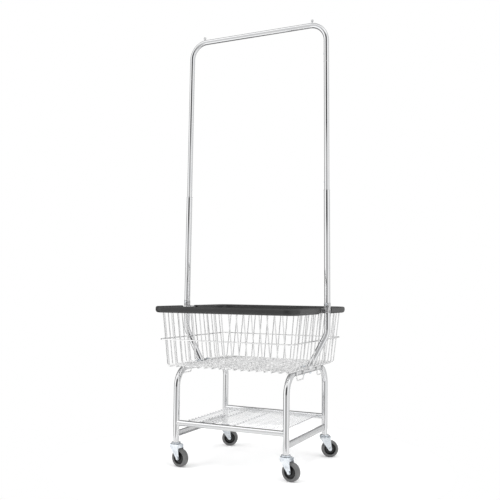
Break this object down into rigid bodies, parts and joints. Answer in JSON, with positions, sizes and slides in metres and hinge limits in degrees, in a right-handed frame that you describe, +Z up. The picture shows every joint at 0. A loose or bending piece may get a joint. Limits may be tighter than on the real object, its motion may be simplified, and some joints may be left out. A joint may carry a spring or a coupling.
{
  "type": "laundry cart",
  "caption": "Chrome laundry cart: tapered wire basket with a dark bumper over a wire shelf, tubular leg frames, a tall hanging rack and four swivel casters",
  "frame": {"origin": "on the floor, midway between the four legs", "axes": "+Z up, X along the long side of the cart from left to right, Y from the front to the back"},
  "size_m": [0.7144, 0.65, 1.932],
  "materials": {
    "chrome_tube": "bright chrome plate on steel tube, faint drawing marks",
    "chrome_wire": "bright chrome plate on steel wire",
    "zinc_steel": "bright zinc plate, slightly blue, worn at the edges",
    "bumper_plastic": "satin charcoal moulded vinyl with fine grain",
    "hub_plastic": "glossy near-black moulded hub",
    "wheel_rubber": "grey non-marking rubber, lightly scuffed tread"
  },
  "bodies": {
    "cart": {"leg_frame_left": "chrome_tube", "leg_frame_right": "chrome_tube", "shelf_rail_front": "chrome_tube", "shelf_rail_rear": "chrome_tube", "side_brace_left": "chrome_tube", "side_brace_right": "chrome_tube", "lower_pole_left": "chrome_tube", "lower_pole_right": "chrome_tube", "mid_pole_left": "chrome_tube", "mid_pole_right": "chrome_tube", "upper_pole_left": "chrome_tube", "upper_pole_right": "chrome_tube", "hanger_arch": "chrome_tube", "stop_pins": "chrome_tube", "shelf_wires": "chrome_wire", "basket_cross_wires": "chrome_wire", "basket_long_wires": "chrome_wire", "basket_ring": "chrome_wire", "basket_top_frame": "chrome_wire", "basket_loops": "chrome_wire", "rail_screws": "zinc_steel", "basket_clips": "zinc_steel", "basket_bolts": "zinc_steel", "rack_bracket_left": "zinc_steel", "rack_bracket_right": "zinc_steel", "bracket_bolts": "zinc_steel", "bumper_front": "bumper_plastic", "bumper_rear": "bumper_plastic", "stem_front_left": "zinc_steel", "stem_front_right": "zinc_steel", "stem_rear_left": "zinc_steel", "stem_rear_right": "zinc_steel"},
    "caster_front_left": {"fork_front_left": "zinc_steel", "axle_front_left": "zinc_steel"},
    "wheel_front_left": {"hub_front_left": "hub_plastic", "tyre_front_left": "wheel_rubber"},
    "caster_front_right": {"fork_front_right": "zinc_steel", "axle_front_right": "zinc_steel"},
    "wheel_front_right": {"hub_front_right": "hub_plastic", "tyre_front_right": "wheel_rubber"},
    "caster_rear_left": {"fork_rear_left": "zinc_steel", "axle_rear_left": "zinc_steel"},
    "wheel_rear_left": {"hub_rear_left": "hub_plastic", "tyre_rear_left": "wheel_rubber"},
    "caster_rear_right": {"fork_rear_right": "zinc_steel", "axle_rear_right": "zinc_steel"},
    "wheel_rear_right": {"hub_rear_right": "hub_plastic", "tyre_rear_right": "wheel_rubber"},
    "button_mid_left": {"snap_button_mid_left": "zinc_steel"},
    "button_mid_right": {"snap_button_mid_right": "zinc_steel"},
    "button_top_left": {"snap_button_top_left": "zinc_steel"},
    "button_top_right": {"snap_button_top_right": "zinc_steel"}
  },
  "joints": [
    {"name": "swivel_front_left", "type": "hinge", "parent": "cart", "child": "caster_front_left", "pos_m": [-0.253, -0.226, 0.09], "axis": [0, 0, 1], "continuous": true},
    {"name": "roll_front_left", "type": "hinge", "parent": "caster_front_left", "child": "wheel_front_left", "pos_m": [-0.22937, -0.23017, 0.0375], "axis": [0.1736, 0.9848, 0], "continuous": true},
    {"name": "swivel_front_right", "type": "hinge", "parent": "cart", "child": "caster_front_right", "pos_m": [0.253, -0.226, 0.09], "axis": [0, 0, 1], "continuous": true},
    {"name": "roll_front_right", "type": "hinge", "parent": "caster_front_right", "child": "wheel_front_right", "pos_m": [0.27664, -0.23017, 0.0375], "axis": [0.1736, 0.9848, 0], "continuous": true},
    {"name": "swivel_rear_left", "type": "hinge", "parent": "cart", "child": "caster_rear_left", "pos_m": [-0.253, 0.226, 0.09], "axis": [0, 0, 1], "continuous": true},
    {"name": "roll_rear_left", "type": "hinge", "parent": "caster_rear_left", "child": "wheel_rear_left", "pos_m": [-0.23017, 0.23342, 0.0375], "axis": [-0.309, 0.9511, 0], "continuous": true},
    {"name": "swivel_rear_right", "type": "hinge", "parent": "cart", "child": "caster_rear_right", "pos_m": [0.253, 0.226, 0.09], "axis": [0, 0, 1], "continuous": true},
    {"name": "roll_rear_right", "type": "hinge", "parent": "caster_rear_right", "child": "wheel_rear_right", "pos_m": [0.27438, 0.2369, 0.0375], "axis": [-0.454, 0.891, 0], "continuous": true},
    {"name": "press_mid_left", "type": "slide", "parent": "cart", "child": "button_mid_left", "axis": [-1, 0, 0.0082], "range_m": [0, 0.0037], "stiffness_N_per_m": 900, "springref_m": -0.0005},
    {"name": "press_mid_right", "type": "slide", "parent": "cart", "child": "button_mid_right", "axis": [1, 0, 0.0082], "range_m": [0, 0.0037], "stiffness_N_per_m": 900, "springref_m": -0.0005},
    {"name": "press_top_left", "type": "slide", "parent": "cart", "child": "button_top_left", "axis": [-1, 0, 0.0082], "range_m": [0, 0.0037], "stiffness_N_per_m": 900, "springref_m": -0.0005},
    {"name": "press_top_right", "type": "slide", "parent": "cart", "child": "button_top_right", "axis": [1, 0, 0.0082], "range_m": [0, 0.0037], "stiffness_N_per_m": 900, "springref_m": -0.0005}
  ]
}
